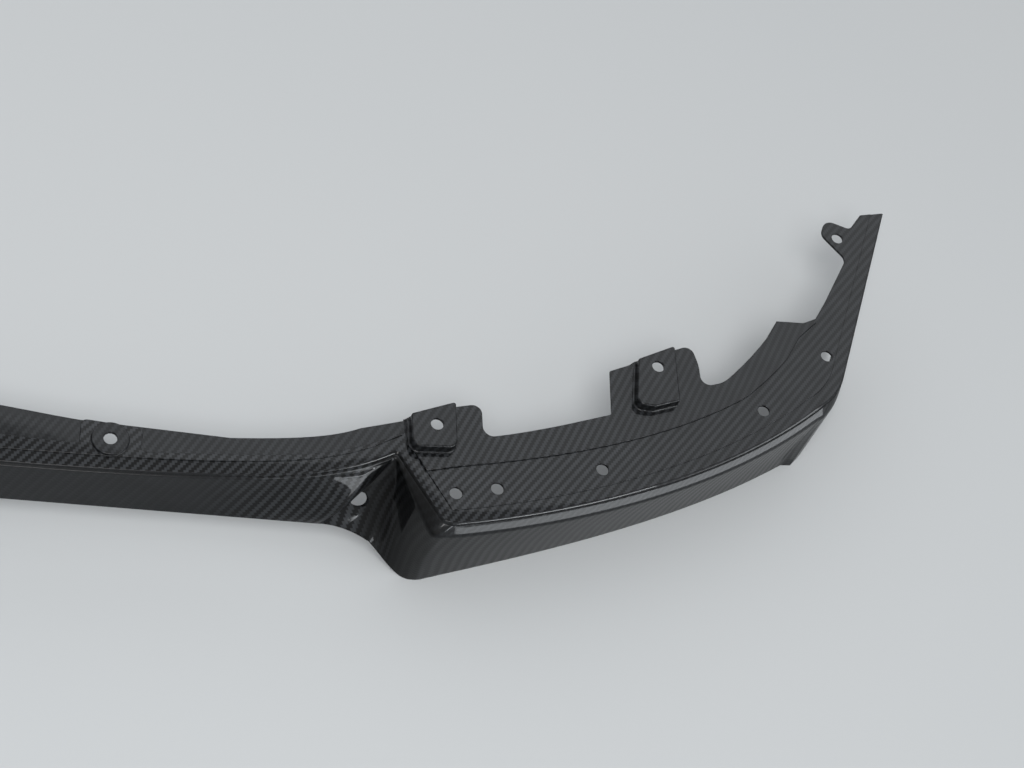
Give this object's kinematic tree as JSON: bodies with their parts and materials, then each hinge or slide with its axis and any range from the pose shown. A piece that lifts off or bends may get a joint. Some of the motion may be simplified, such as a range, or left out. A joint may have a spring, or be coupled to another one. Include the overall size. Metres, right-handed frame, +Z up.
{
  "type": "front splitter lip",
  "caption": "One-piece carbon-fibre front splitter lip for a car bumper: bevelled wings, raised middle, flange with screw pads and side arms.",
  "frame": {"origin": "middle of the bounding box's bottom, on the ground between the two wings", "axes": "+X across the car to the side that the picture shows, -Y forward over the noses, +Y back along the side arms, +Z up"},
  "size_m": [1.7376, 0.3939, 0.11],
  "materials": {
    "carbon_laminate": "woven carbon fibre under a gloss clear coat"
  },
  "bodies": {
    "root": {"splitter_lip": "carbon_laminate"}
  },
  "joints": []
}
